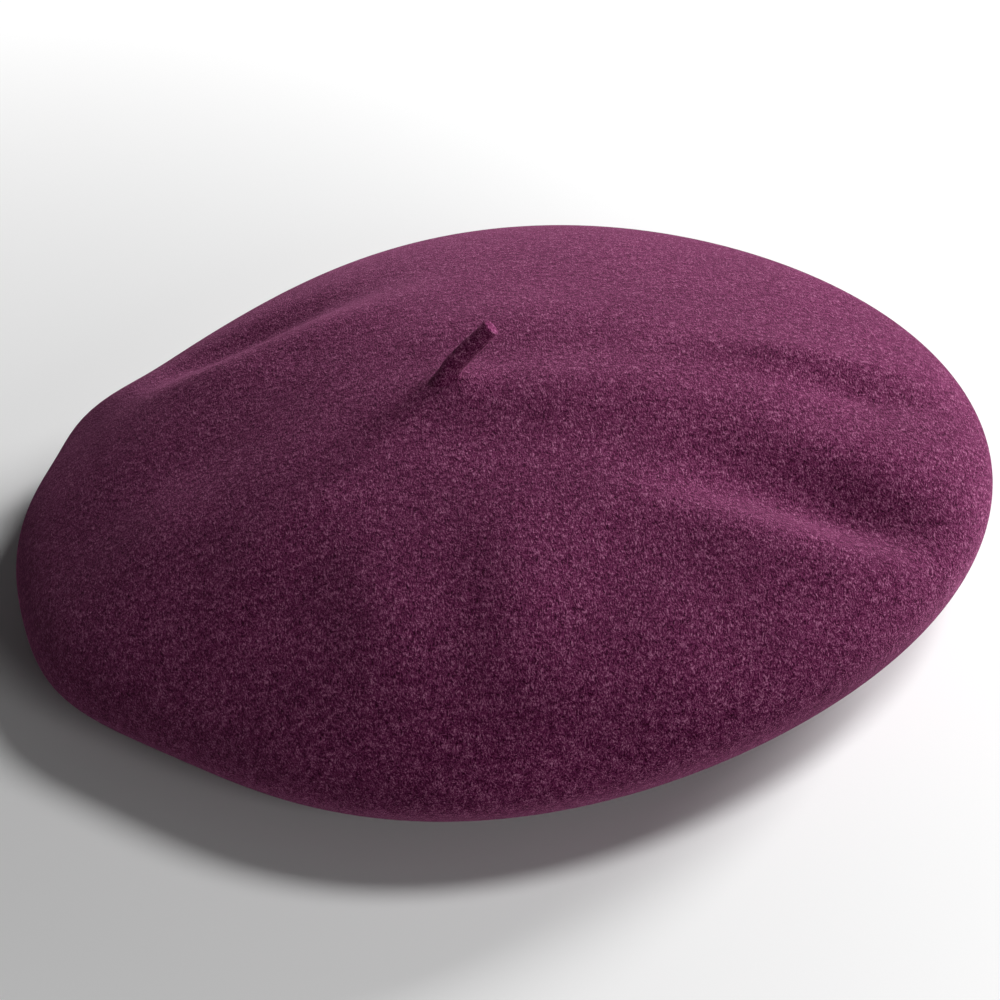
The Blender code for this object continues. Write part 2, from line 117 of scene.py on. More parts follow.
# only the looks need these
STALK_TAIL = ((-2.2, 0, -5.6), (-1.3, 0, -2.9))  # below the foot of STALK_PATH, in the felt
STALK_SIDES = 40
STALK_FLARE, STALK_FLARE_LENGTH = 2.0 * MM, 3.6 * MM
STITCH_STEPS = 10  # points along each stitch
THREAD_SIDES = 10
PLY_TWIST = 1.1 * MM  # between one twist of a thread's two plies and the next
LINING_GATHERS = 54
SATIN_THICKNESS = 0.3 * MM
SHIELD_FACE, SHIELD_BACK = 0.5 * MM, 0.2 * MM  # how far the film's faces are under the lining
LOZENGE_POWER = 1.25  # 1 gives straight sides and sharp corners, 2 an ellipse
WAVE_SCALE = 0.31416  # a wave texture of this scale has one band a metre
CAMERA_ELEVATION, CAMERA_ROLL = 33.65, 5.6
CAMERA_TARGET, CAMERA_DISTANCE, CAMERA_LENS = (0.1, 0, 21.1), 1.0, 123.6
LIGHT_DISTANCE, LIGHT_SIZE = 1.45, 0.5


# --- helpers ------------------------------------------------------------------------


def add_mesh(name, points, faces, material, smooth=True):
    """Adds a piece to the scene, with one material."""
    mesh = bpy.data.meshes.new(name)
    mesh.from_pydata([tuple(p) for p in points], [], faces)
    mesh.validate()
    if smooth:
        mesh.shade_smooth()
    mesh.materials.append(material)
    obj = bpy.data.objects.new(name, mesh)
    bpy.context.scene.collection.objects.link(obj)
    return obj


def grid_faces(rows, columns, closed_rows=False):
    """Quads between rings of points; with closed_rows the last ring joins the first."""
    faces = []
    for i in range(rows if closed_rows else rows - 1):
        low, high = i * columns, (i + 1) % rows * columns
        for j in range(columns):
            k = (j + 1) % columns
            faces.append((low + j, low + k, high + k, high + j))
    return faces


def capped_grid(name, rings, material, flip=False):
    """A solid from rings of points, closed over its first and its last ring."""
    rings = np.array(rings)
    rows, columns = rings.shape[:2]
    last = (rows - 1) * columns
    caps = [tuple(reversed(range(columns))), tuple(range(last, last + columns))]
    faces = grid_faces(rows, columns) + caps
    if flip:
        faces = [tuple(reversed(face)) for face in faces]
    return add_mesh(name, rings.reshape(-1, 3), faces, material)


def full_turn(count):
    """Angles once round, in equal steps, without the first one again at the end."""
    return np.linspace(0, 2 * np.pi, count, endpoint=False)


def unit(vectors):
    return vectors / np.linalg.norm(vectors, axis=-1, keepdims=True)


def around_z(turn, radius, height=0.0):
    """Points round the Z axis."""
    return np.stack((radius * np.cos(turn), radius * np.sin(turn), 0 * turn + height), -1)


def soft(obj, body="root"):
    """Fixes a soft piece to a body and gives it a mesh of its own."""
    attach(obj, body)
    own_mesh(obj)
    return obj


class Nodes:
    """Short names for building a node material."""

    def __init__(self, name):
        self.material = bpy.data.materials.new(name)
        self.material.use_nodes = True
        self.tree = self.material.node_tree
        self.shader = self.tree.nodes["Principled BSDF"]

    def add(self, kind, **values):
        node = self.tree.nodes.new(kind)
        for key, value in values.items():
            setattr(node, key, value)
        return node

    def link(self, a, b):
        self.tree.links.new(a, b)

    def coordinates(self):
        return self.add("ShaderNodeTexCoord").outputs["Object"]

    def mapping(self, vector, scale=(1, 1, 1), rotation=(0, 0, 0)):
        node = self.add("ShaderNodeMapping")
        node.inputs["Scale"].default_value = scale
        node.inputs["Rotation"].default_value = rotation
        self.link(vector, node.inputs["Vector"])
        return node.outputs["Vector"]

    def noise(self, vector, scale, detail=2.0, rough=0.5, distortion=0.0):
        node = self.add("ShaderNodeTexNoise")
        node.inputs["Scale"].default_value = scale
        node.inputs["Detail"].default_value = detail
        node.inputs["Roughness"].default_value = rough
        node.inputs["Distortion"].default_value = distortion
        self.link(vector, node.inputs["Vector"])
        return node.outputs["Fac"]

    def ramp(self, value, stops):
        node = self.add("ShaderNodeValToRGB")
        elements = node.color_ramp.elements
        while len(elements) < len(stops):
            elements.new(0.5)
        for element, (place, colour) in zip(elements, stops):
            element.position = place
            element.color = (*colour, 1) if len(colour) == 3 else colour
        self.link(value, node.inputs["Fac"])
        return node.outputs["Color"]

    def math(self, operation, a, b=None, clamp=False):
        node = self.add("ShaderNodeMath", operation=operation, use_clamp=clamp)
        for socket, value in zip(node.inputs, (a, b)):
            if value is None:
                continue
            if isinstance(value, (int, float)):
                socket.default_value = value
            else:
                self.link(value, socket)
        return node.outputs["Value"]

    def mix(self, factor, a, b, blend="MIX"):
        node = self.add("ShaderNodeMix", data_type="RGBA", blend_type=blend)
        for socket, value in ((node.inputs[0], factor), (node.inputs[6], a), (node.inputs[7], b)):
            if isinstance(value, (int, float)):
                socket.default_value = value
            elif isinstance(value, tuple):
                socket.default_value = (*value, 1)
            else:
                self.link(value, socket)
        return node.outputs[2]

    def bump(self, height, distance, strength=1.0, normal=None):
        node = self.add("ShaderNodeBump")
        node.inputs["Strength"].default_value = strength
        node.inputs["Distance"].default_value = distance
        self.link(height, node.inputs["Height"])
        if normal is not None:
            self.link(normal, node.inputs["Normal"])
        return node.outputs["Normal"]

    def set(self, **values):
        for key, value in values.items():
            self.shader.inputs[key.replace("_", " ")].default_value = value


# --- materials ----------------------------------------------------------------------


def felt_material(name, lift=1.0):
    """Fulled wool: matted fibres, with painted shade in the pits between them and a pale nap on top
    that is partly painted light.

    Lift makes the wool paler: painted light, for a piece that the lamps leave darker than the rest.
    """
    n = Nodes(name)
    place = n.coordinates()
    # the fibres' places, pushed about a little so that no fibre runs straight
    warp = n.add("ShaderNodeVectorMath", operation="MULTIPLY_ADD")
    lumps = n.add("ShaderNodeTexNoise")
    lumps.inputs["Scale"].default_value = 300
    lumps.inputs["Detail"].default_value = 2
    n.link(place, lumps.inputs["Vector"])
    n.link(lumps.outputs["Color"], warp.inputs[0])
    warp.inputs[1].default_value = (1.6 * MM,) * 3
    n.link(place, warp.inputs[2])
    twisted = warp.outputs["Vector"]
    # three sets of short fibres that cross each other
    sets = []
    for turn, scale in ((0.35, 2350), (1.5, 2650), (2.6, 2150)):
        along = n.mapping(twisted, scale=(1, 0.3, 1), rotation=(0.3 * turn, 0.2, turn))
        sets.append(n.noise(along, scale, detail=1.5, rough=0.6))
    fibres = n.math("MAXIMUM", n.math("MAXIMUM", sets[0], sets[1]), sets[2])
    clumps = n.noise(place, 520, detail=3, rough=0.65)
    patches = n.noise(place, 34, detail=3, rough=0.6)
    mixed = n.math("ADD", n.math("MULTIPLY", fibres, 0.89), n.math("MULTIPLY", clumps, 0.30))
    # the ramp paints shade into the low places between the fibres and painted sheen onto the pale
    # fibre tops, over the wool's own plum
    colour = n.ramp(
        mixed,
        [
            (0.53, (0.014, 0.0008, 0.007)),
            (0.62, (0.057, 0.0050, 0.029)),
            (0.71, (0.126, 0.0235, 0.072)),
            (0.82, (0.300, 0.1170, 0.200)),
        ],
    )
    # the patches are the wool's own uneven tone; lift makes the whole felt paler as painted light
    low, high = (0.88 * lift, 0.86 * lift, 0.88 * lift), (1.08 * lift,) * 3
    shade = n.ramp(patches, [(0.3, low), (0.7, high)])
    n.link(n.mix(1.0, colour, shade, "MULTIPLY"), n.shader.inputs["Base Color"])
    height = n.math("ADD", n.math("MULTIPLY", fibres, 0.6), n.math("MULTIPLY", clumps, 0.4))
    n.link(n.bump(height, 1.1 * MM), n.shader.inputs["Normal"])
    n.set(Roughness=1.0, Specular_IOR_Level=0.0, Sheen_Weight=0.30, Sheen_Roughness=0.45)
    n.set(Sheen_Tint=(1.0, 0.35, 0.65, 1))
    return n.material


def cloth_place(n):
    """Distance along and across a cloth, in metres, as write_cloth() stores it."""
    return n.add("ShaderNodeAttribute", attribute_name="cloth").outputs["Vector"]


def weave(n, place, pitch, axis, rough=0.0):
    """Bands of one thread each, pitch metres apart along an axis."""
    bands = n.add("ShaderNodeTexWave", bands_direction=axis, wave_profile="SIN")
    bands.inputs["Scale"].default_value = WAVE_SCALE / pitch
    bands.inputs["Distortion"].default_value = rough
    bands.inputs["Detail"].default_value = 1
    n.link(place, bands.inputs["Vector"])
    return bands.outputs["Fac"]


def woven_material(name, dark, light, pitch, depth, roughness, sheen=0.0, ribs=False):
    """A plain weave, or with ribs a grosgrain whose cross threads stand proud."""
    n = Nodes(name)
    place = cloth_place(n)
    across = weave(n, place, pitch, "Y" if ribs else "X", 0.4)
    along = weave(n, place, pitch * (0.5 if ribs else 1.0), "X" if ribs else "Y", 0.4)
    cells = across if ribs else n.math("MULTIPLY", across, along)
    flecks = n.noise(n.coordinates(), 1500, detail=2, rough=0.6)
    value = n.math("ADD", n.math("MULTIPLY", cells, 0.6), n.math("MULTIPLY", flecks, 0.5))
    n.link(n.ramp(value, [(0.2, dark), (0.8, light)]), n.shader.inputs["Base Color"])
    height = n.math("ADD", cells, n.math("MULTIPLY", along, 0.3))
    n.link(n.bump(height, depth, 0.8), n.shader.inputs["Normal"])
    n.set(Roughness=roughness, Specular_IOR_Level=0.25, Sheen_Weight=sheen)
    return n.material


def satin_material():
    """Long floats of filament: a soft gloss with fine lines across it and slow uneven patches."""
    n = Nodes("lining_satin")
    place = n.coordinates()
    lines = weave(n, cloth_place(n), 0.45 * MM, "X", 0.3)
    cloud = n.noise(place, 60, detail=3)
    value = n.math("ADD", n.math("MULTIPLY", cloud, 0.8), n.math("MULTIPLY", lines, 0.2))
    stops = [(0.3, (0.050, 0.008, 0.024)), (0.7, (0.115, 0.022, 0.058))]
    n.link(n.ramp(value, stops), n.shader.inputs["Base Color"])
    n.link(n.ramp(cloud, [(0.3, (0.27,) * 3), (0.7, (0.40,) * 3)]), n.shader.inputs["Roughness"])
    n.link(n.bump(lines, 0.05 * MM, 0.6), n.shader.inputs["Normal"])
    n.set(Specular_IOR_Level=0.6)
    return n.material


def leather_material():
    """Fine pebbled grain, darker in its creases and polished on its tops."""
    n = Nodes("sweatband_leather")
    place = n.coordinates()
    cells = n.add("ShaderNodeTexVoronoi", feature="DISTANCE_TO_EDGE")
    cells.inputs["Scale"].default_value = 1100
    n.link(place, cells.inputs["Vector"])
    crease = n.math("MULTIPLY", cells.outputs["Distance"], 3.0, clamp=True)
    cloud = n.noise(place, 90, detail=4, rough=0.6)
    tone = n.math("ADD", n.math("MULTIPLY", crease, 0.5), n.math("MULTIPLY", cloud, 0.6))
    colour = n.ramp(
        tone,
        [
            (0.25, (0.022, 0.010, 0.007)),
            (0.55, (0.062, 0.029, 0.018)),
            (0.85, (0.105, 0.053, 0.033)),
        ],
    )
    n.link(colour, n.shader.inputs["Base Color"])
    n.link(n.ramp(crease, [(0.0, (0.62,) * 3), (1.0, (0.42,) * 3)]), n.shader.inputs["Roughness"])
    height = n.math("ADD", crease, n.math("MULTIPLY", cloud, 0.8))
    n.link(n.bump(height, 0.12 * MM, 0.7), n.shader.inputs["Normal"])
    n.set(Specular_IOR_Level=0.4)
    return n.material


def thread_material():
    """Spun thread: short hairs along the ply, a shade paler than the felt."""
    n = Nodes("sewing_thread")
    hairs = n.noise(n.coordinates(), 3200, detail=3, rough=0.65)
    stops = [(0.35, (0.085, 0.020, 0.046)), (0.65, (0.200, 0.066, 0.118))]
    n.link(n.ramp(hairs, stops), n.shader.inputs["Base Color"])
    n.link(n.bump(hairs, 0.05 * MM, 0.7), n.shader.inputs["Normal"])
    n.set(Roughness=0.65, Specular_IOR_Level=0.3, Sheen_Weight=0.15)
    return n.material


def film_material():
    """Clear soft film with faint handling marks."""
    n = Nodes("clear_film")
    marks = n.noise(n.coordinates(), 70, detail=4, rough=0.7)
    n.link(n.ramp(marks, [(0.4, (0.04,) * 3), (0.7, (0.12,) * 3)]), n.shader.inputs["Roughness"])
    n.link(n.bump(marks, 0.2 * MM, 0.25), n.shader.inputs["Normal"])
    n.set(Base_Color=(0.95, 0.96, 0.95, 1), Transmission_Weight=1.0, IOR=1.2)
    return n.material


# --- felt ---------------------------------------------------------------------------


def rim_radius(turn):
    """The reach of the hat's rim in each direction: a circle with waves and two corners."""
    radius = np.full_like(turn, CROWN_RADIUS)
    for count, height, crest in RIM_WAVES:
        radius += height * MM * np.cos(count * (turn - math.radians(crest)))
    for middle, width, height in RIM_CORNERS:
        off = (turn - math.radians(middle) + np.pi) % (2 * np.pi) - np.pi
        radius += height * MM * np.exp(-((off / math.radians(width)) ** 2))
    return radius


def rim_offset():
    """How far the middle of the rim's box is from its own centre."""
    turn = full_turn(360)
    x, y = rim_radius(turn) * np.cos(turn), rim_radius(turn) * np.sin(turn)
    return np.array(((x.min() + x.max()) / 2, (y.min() + y.max()) / 2))


RIM_OFFSET = rim_offset()


def fold_height(x, y):
    """The rise and fall of the crown's soft folds."""
    total = np.zeros_like(x)
    for fold_x, fold_y, length, width, heading, height in FOLDS:
        turn = math.radians(heading)
        dx, dy = x / MM - fold_x, y / MM - fold_y
        along = dx * math.cos(turn) + dy * math.sin(turn)
        across = dy * math.cos(turn) - dx * math.sin(turn)
        total += height * np.exp(-((along / length) ** 2) - (across / width) ** 2)
    return total * MM


def crown_point(share, turn):
    """A place on the crown: share is 0 at the stalk and 1 at the rim."""
    reach = share * rim_radius(turn)
    x = reach * np.cos(turn) + APEX[0] * (1 - share**2) - RIM_OFFSET[0] * share**2
    y = reach * np.sin(turn) + APEX[1] * (1 - share**2) - RIM_OFFSET[1] * share**2
    dome = (1 - share**CROWN_FALL) ** RIM_ROUND
    rim = RIM_HEIGHT + RIM_LIFT * np.cos(turn)
    mound = MOUND_HEIGHT * np.exp(-(((x - APEX[0]) ** 2 + (y - APEX[1]) ** 2) / MOUND_WIDTH**2))
    z = rim + (APEX[2] - rim) * dome + mound + fold_height(x, y) * (1 - share**6)
    return np.stack((x, y, z), -1)


def under_point(share, turn):
    """A place on the underside: share is 0 at the rim and 1 at the ring it stands on."""
    radius = rim_radius(turn) + (OPENING_RADIUS + REST_WIDTH - rim_radius(turn)) * share
    left = 1 - share
    rim = RIM_HEIGHT + RIM_LIFT * np.cos(turn)
    roll = 1 - np.sqrt(1 - left**2)
    z = rim * (UNDER_ROUND * roll + (1 - UNDER_ROUND) * left**UNDER_SLOPE)
    x = radius * np.cos(turn) - RIM_OFFSET[0] * left
    y = radius * np.sin(turn) - RIM_OFFSET[1] * left
    return np.stack((x, y, z), -1)


def felt_rings(around, crown_rows, under_rows):
    """Rings of the felt's outside, from the stalk over the rim to the head opening."""
    turn = full_turn(around)
    rings = []
    first = 0.5 * MM / CROWN_RADIUS
    for i in range(crown_rows + 1):
        share = first + (1 - first) * math.sin(math.pi / 2 * i / crown_rows)
        rings.append(crown_point(share, turn))
    for i in range(1, under_rows + 1):
        rings.append(under_point(1 - math.cos(math.pi / 2 * i / under_rows), turn))
    for step in (0.5, 1.0):
        radius = OPENING_RADIUS + REST_WIDTH * (1 - step)
        rings.append(np.stack((radius * np.cos(turn), radius * np.sin(turn), 0 * turn), -1))
    return np.array(rings)


def ring_normals(rings):
    outward = np.empty_like(rings)
    outward[1:-1] = rings[2:] - rings[:-2]
    outward[0], outward[-1] = rings[1] - rings[0], rings[-1] - rings[-2]
    around = np.roll(rings, -1, 1) - np.roll(rings, 1, 1)
    normal = np.cross(outward, around)
    return unit(normal)


def make_felt(material):
    """The felt body: one shell of even thickness."""
    outside = felt_rings(288, 90, 44)
    normal = ring_normals(outside)
    normal[0] = (0, 0, 1)
    normal[-1] = (0, 0, -1)
    inside = outside - normal * FELT_THICKNESS
    rows, columns = outside.shape[:2]
    rings = np.concatenate((inside, outside[::-1]))
    felt = add_mesh(
        "felt_shell", rings.reshape(-1, 3), grid_faces(2 * rows, columns, True), material
    )
    soft(felt)
    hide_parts("felt_body")
    return felt


# --- stalk --------------------------------------------------------------------------


def smooth_line(points, per_span):
    """A smooth curve through the points (Catmull-Rom)."""
    ends = [2 * points[0] - points[1], *points, 2 * points[-1] - points[-2]]
    line = []
    for a, b, c, d in zip(ends, ends[1:], ends[2:], ends[3:]):
        for i in range(per_span):
            t = i / per_span
            line.append(
                0.5 * (2 * b + (c - a) * t + (2 * a - 5 * b + 4 * c - d) * t**2
                       + (3 * b - 3 * c + d - a) * t**3)
            )
    return [*line, points[-1]]


def make_stalk(material):
    """A rolled stub of felt that flares into the crown at its foot and is cut square at its tip."""
    path = [np.array(p, float) * MM for p in (*STALK_TAIL, *STALK_PATH)]
    line = smooth_line(path, 6)
    along = np.cumsum([0] + [float(np.linalg.norm(b - a)) for a, b in zip(line, line[1:])])
    turn = full_turn(STALK_SIDES)
    start_two, start_three = rng.normal(0, 1, 2)
    rings = []
    for i, middle in enumerate(line):
        ahead = unit(line[min(i + 1, len(line) - 1)] - line[max(i - 1, 0)])
        side = unit(np.cross(ahead, (0, 1, 0)))
        other = np.cross(ahead, side)
        flare = STALK_FLARE * math.exp(-((along[i] / STALK_FLARE_LENGTH) ** 1.6))
        lump = 1 + 0.03 * np.sin(2 * turn + start_two + along[i] * 260)
        lump += 0.025 * np.sin(3 * turn + start_three - along[i] * 410)
        taper = 1.04 - 0.05 * along[i] / along[-1]
        radius = STALK_RADIUS * taper * lump + flare
        ring = middle + np.outer(np.cos(turn) * radius, side)
        rings.append(ring + np.outer(np.sin(turn) * radius, other))
    tip, tip_ring, tip_ahead = line[-1], rings[-1], unit(line[-1] - line[-2])
    for push, shrink in ((0.32, 0.95), (0.5, 0.84), (0.52, 0.6), (0.44, 0.3), (0.42, 0.05)):
        rings.append(tip + (tip_ring - tip) * shrink + tip_ahead * push * MM)
    bottom = rings[0].mean(0)
    for shrink in (0.6, 0.1):
        rings.insert(0, bottom + (rings[0] - bottom) * shrink)
    stalk = capped_grid("felt_stalk", np.array(rings) + PIVOT, material)
    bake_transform(stalk)
    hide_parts("stalk")
    return stalk


# --- what is sewn inside ------------------------------------------------------------


def write_cloth(obj, corners):
    """Stores a place on the cloth for every face corner."""
    attribute = obj.data.attributes.new("cloth", "FLOAT_VECTOR", "CORNER")
    attribute.data.foreach_set("vector", corners.ravel())


def on_cloth(obj, columns, step_u, step_v):
    """Gives a closed grid its distance along and across the cloth, for the weave to follow."""
    face = np.arange(len(obj.data.polygons))
    row, column = face // columns, face % columns
    u = np.stack((column, column + 1, column + 1, column), -1) * step_u
    v = np.stack((row, row, row + 1, row + 1), -1) * step_v
    write_cloth(obj, np.stack((u.ravel(), v.ravel(), 0 * u.ravel()), -1))


def on_flat_cloth(obj):
    """Gives a nearly flat piece its cloth distances straight from X and Y."""
    mesh = obj.data
    corner = np.empty(len(mesh.loops), np.int32)
    mesh.loops.foreach_get("vertex_index", corner)
    places = np.empty(3 * len(mesh.vertices))
    mesh.vertices.foreach_get("co", places)
    write_cloth(obj, places.reshape(-1, 3)[corner])


def closed_grid(name, rings, material, node):
    """A ring-shaped solid: rings of points that run round its section and back to the start."""
    rows, columns = rings.shape[:2]
    piece = add_mesh(name, rings.reshape(-1, 3), grid_faces(rows, columns, True), material)
    step_u = float(np.linalg.norm(rings[0, 1] - rings[0, 0]))
    step_v = float(np.linalg.norm(rings[1, 0] - rings[0, 0]))
    on_cloth(piece, columns, step_u, step_v)
    return sewn(piece, node)


def sewn(piece, node, body="root"):
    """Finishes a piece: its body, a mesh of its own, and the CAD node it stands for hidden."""
    soft(piece, body)
    if node:
        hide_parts(node)
    return piece


def make_sweatband(material):
    """The leather strip: rounded edges, a tooled line near its top, its ends at the back."""
    half_gap = JOIN_GAP / 2 / SIZE_RADIUS
    turn = np.linspace(np.pi / 2 + half_gap, np.pi * 5 / 2 - half_gap, 420)
    height = BAND_BOTTOM + (BAND_TOP - BAND_BOTTOM) * np.linspace(0, 1, 46)
    edge = np.minimum(height - BAND_BOTTOM, BAND_TOP - height) / (0.5 * MM)
    round_off = 0.35 * MM * (1 - np.sqrt(1 - (1 - np.clip(edge, 0, 1)) ** 2))
    line = 0.25 * MM * np.exp(-(((height - BAND_TOP + 2.5 * MM) / (0.35 * MM)) ** 2))
    sections = []
    for angle in turn:
        wave = 0.25 * MM * math.sin(7 * angle) + 0.15 * MM * math.sin(17 * angle + 1)
        lean = wave * ((height - BAND_BOTTOM) / BAND_TOP) ** 3
        inner = SIZE_RADIUS + round_off + line + lean
        outer = SIZE_RADIUS + LEATHER_THICKNESS - round_off + lean
        radius = np.concatenate((inner, outer[::-1]))
        z = np.concatenate((height, height[::-1]))
        sections.append(np.stack((radius * math.cos(angle), radius * math.sin(angle), z), -1))
    band = capped_grid("leather_band", sections, material, flip=True)
    band.data.set_sharp_from_angle(angle=math.radians(50))
    return sewn(band, "sweatband")


def make_stay_tape(material):
    """A woven tape whose edges are a little thicker than its middle."""
    turn = full_turn(300)
    inside = SIZE_RADIUS + LEATHER_THICKNESS + GAP
    height = np.linspace(TAPE_BOTTOM, TAPE_TOP, 12)
    rings = [around_z(turn, inside, z) for z in height]
    for i, z in enumerate(reversed(height)):
        selvedge = 0.12 * MM if i in (1, 2, 9, 10) else 0
        rings.append(around_z(turn, inside + TAPE_THICKNESS - 0.15 * MM + selvedge, z))
    return closed_grid("woven_tape", np.array(rings)[::-1], material, "stay_tape")


def stitch_line(corners, lift, sink, closed):
    """A thread's line through holes at the corners, arched over the cloth between them."""
    points, ups = corners
    last = len(points) if closed else len(points) - 1
    line, normals = [], []
    for i in range(last):
        a, b = points[i], points[(i + 1) % len(points)]
        up = unit(ups[i] + ups[(i + 1) % len(points)])
        for t in np.arange(STITCH_STEPS) / STITCH_STEPS:
            rise = -sink + (lift + sink) * math.sin(math.pi * t) ** 0.5
            line.append(a + (b - a) * t + up * rise)
            normals.append(up)
    if not closed:
        line.append(points[-1] - ups[-1] * sink)
        normals.append(ups[-1])
    return np.array(line), np.array(normals)


def make_stitches(name, corners, material, node, closed=False, body="root"):
    """A two-ply thread along a row of stitches; corners are (holes, directions off the cloth)."""
    line, ups = stitch_line(corners, THREAD_RADIUS * 0.9, THREAD_RADIUS * 0.6, closed)
    if closed:
        ahead = unit(np.roll(line, -1, 0) - np.roll(line, 1, 0))
    else:
        ahead = unit(np.gradient(line, axis=0))
    side = unit(np.cross(ahead, ups))
    other = np.cross(side, ahead)
    along = np.cumsum(np.linalg.norm(np.diff(line, axis=0, prepend=line[:1]), axis=1))
    turn = full_turn(THREAD_SIDES)
    ply = 1 + 0.2 * np.cos(2 * turn[None] - along[:, None] * 2 * np.pi / PLY_TWIST)
    reach = THREAD_RADIUS * 0.86 * ply[..., None]
    rings = line[:, None] + reach * (
        np.cos(turn)[None, :, None] * side[:, None] + np.sin(turn)[None, :, None] * other[:, None]
    )
    if closed:
        faces = grid_faces(len(rings), THREAD_SIDES, True)
        piece = add_mesh(name, rings.reshape(-1, 3), faces, material)
    else:
        piece = capped_grid(name, rings, material)
    return sewn(piece, node, body)


def band_corners(turns, heights):
    """Stitch holes on the inside of the sweatband."""
    points = around_z(turns, SIZE_RADIUS)
    points[:, 2] = heights
    return points, -around_z(turns, 1.0)


def make_band_stitching(material):
    """The threads on the sweatband: its hem, its join and the tacks over both tags."""
    turns = full_turn(2 * HEM_STITCHES)
    heights = np.tile((HEM_STITCH_LOW, HEM_STITCH_HIGH), HEM_STITCHES)
    make_stitches("hem_thread", band_corners(turns, heights), material, "hem_stitching", True)
    high = BOW_MIDDLE - BOW_HEIGHT / 2 - 1.2 * MM
    heights = np.linspace(6.5 * MM, high, JOIN_STITCHES)
    turns = np.pi / 2 + np.tile((1, -1), JOIN_STITCHES)[:JOIN_STITCHES] * 1.8 * MM / SIZE_RADIUS
    make_stitches("join_thread", band_corners(turns, heights), material, "join_stitching")
    for node, tag in (("size_tag_tack", SIZE_TAG), ("care_label_tack", CARE_LABEL)):
        steps = 11
        side = tag["width"] * 0.9 * np.linspace(-0.5, 0.5, steps)
        heights = tag["top"] + np.where(np.arange(steps) % 2, 1.9, 0.9) * MM
        turns = math.radians(tag["bearing"]) + side / SIZE_RADIUS
        make_stitches(node + "_thread", band_corners(turns, heights), material, node)


def make_bow_ribbon(material):
    """One ribbon in a flat figure of eight, pleated where the knot pinches it."""
    count, across = 180, 11
    half_cloth, clear = 0.18 * MM, 0.3 * MM
    v = np.linspace(-1, 1, across)
    sections = []
    for turn in full_turn(count):
        x = (BOW_LENGTH / 2 - clear) * math.sin(turn)
        spread = min(abs(x) / (9 * MM), 1)
        spread = spread * spread * (3 - 2 * spread)
        half = BOW_HEIGHT / 2 * (0.44 + 0.56 * spread)
        layer = (BOW_THICKNESS / 2 - clear) * math.sin(2 * turn)
        pleat = 0.28 * MM * np.cos(3 * np.pi * v) * (1 - spread)
        depth = math.sqrt(SIZE_RADIUS**2 - x**2) - BOW_THICKNESS / 2 - clear
        belly = 0.25 * MM * spread * v**2 * math.copysign(1, -math.sin(2 * turn))
        y = depth - layer + pleat + belly
        z = BOW_MIDDLE + half * v
        near = np.stack((0 * v + x, y - half_cloth, z), -1)
        far = np.stack((0 * v + x, y + half_cloth, z), -1)
        sections.append(np.concatenate((near, far[::-1])))
    rings = np.array(sections)
    faces = grid_faces(count, 2 * across, True)
    bow = add_mesh("grosgrain_bow", rings.reshape(-1, 3), faces, material)
    on_cloth(bow, 2 * across, 0.8 * MM, 0.35 * MM)
    sewn(bow, "bow_ribbon")


def make_bow_knot(material):
    """The short ribbed band round the bow's middle."""
    turn = full_turn(48)
    middle = SIZE_RADIUS - 2 * GAP - KNOT_BAND - PINCH_THICKNESS / 2
    rings = []
    for t in np.linspace(-1, 1, 21):
        swell = (1 - abs(t) ** 5) ** 0.5 * 0.25 + 0.75
        rib = 1 + 0.025 * math.cos(9 * np.pi * t)
        y = middle + 1.7 * MM * swell * rib * np.cos(turn)
        z = BOW_MIDDLE + 2.9 * MM * swell * rib * np.sin(turn)
        rings.append(np.stack((0 * turn + t * KNOT_WIDTH / 2, y, z), -1))
    sewn(capped_grid("grosgrain_knot", rings, material), "bow_knot")


def tag_point(tag, u, v, depth):
    """A place on a tag: along its width, down from its sewn edge, and in towards the head."""
    bearing = math.radians(tag["bearing"])
    stand_off = math.sqrt((SIZE_RADIUS - GAP) ** 2 - (tag["width"] / 2) ** 2) - GAP
    out = stand_off - depth
    x = out * math.cos(bearing) - u * math.sin(bearing)
    y = out * math.sin(bearing) + u * math.cos(bearing)
    return np.stack((x, y, tag["top"] + v), -1)


def make_tag(name, tag, material, node):
    """A folded woven tag with a thicker hem round it and a slight curl."""
    n = 25
    grid_u, grid_v = np.meshgrid(np.linspace(-1, 1, n), np.linspace(0, 1, n))
    near_edge = np.maximum(abs(grid_u), abs(2 * grid_v - 1))
    hem = 0.05 * MM * (near_edge > 0.84) * (near_edge < 0.99)
    curl = 0.12 * MM * grid_v**2 * (1 + 0.3 * grid_u)
    u, v = grid_u * tag["width"] / 2, -grid_v * tag["height"]
    front = tag_point(tag, u, v, TAG_THICKNESS - 0.06 * MM + hem + curl)
    back = tag_point(tag, u, v, 0.04 * MM + curl)
    points = np.concatenate((front.reshape(-1, 3), back.reshape(-1, 3)))
    faces = []
    for i in range(n - 1):
        for j in range(n - 1):
            a = i * n + j
            faces.append((a, a + 1, a + n + 1, a + n))
            faces.append((a + n * n, a + n + n * n, a + n + 1 + n * n, a + 1 + n * n))
    rim = [*range(n), *range(2 * n - 1, n * n, n), *range(n * n - 2, n * n - n - 1, -1),
           *range(n * n - 2 * n, 0, -n)]
    for a, b in zip(rim, rim[1:] + rim[:1]):
        faces.append((b, a, a + n * n, b + n * n))
    piece = add_mesh(name, points, faces, material)
    piece.data.set_sharp_from_angle(angle=math.radians(40))
    return sewn(piece, node, node)


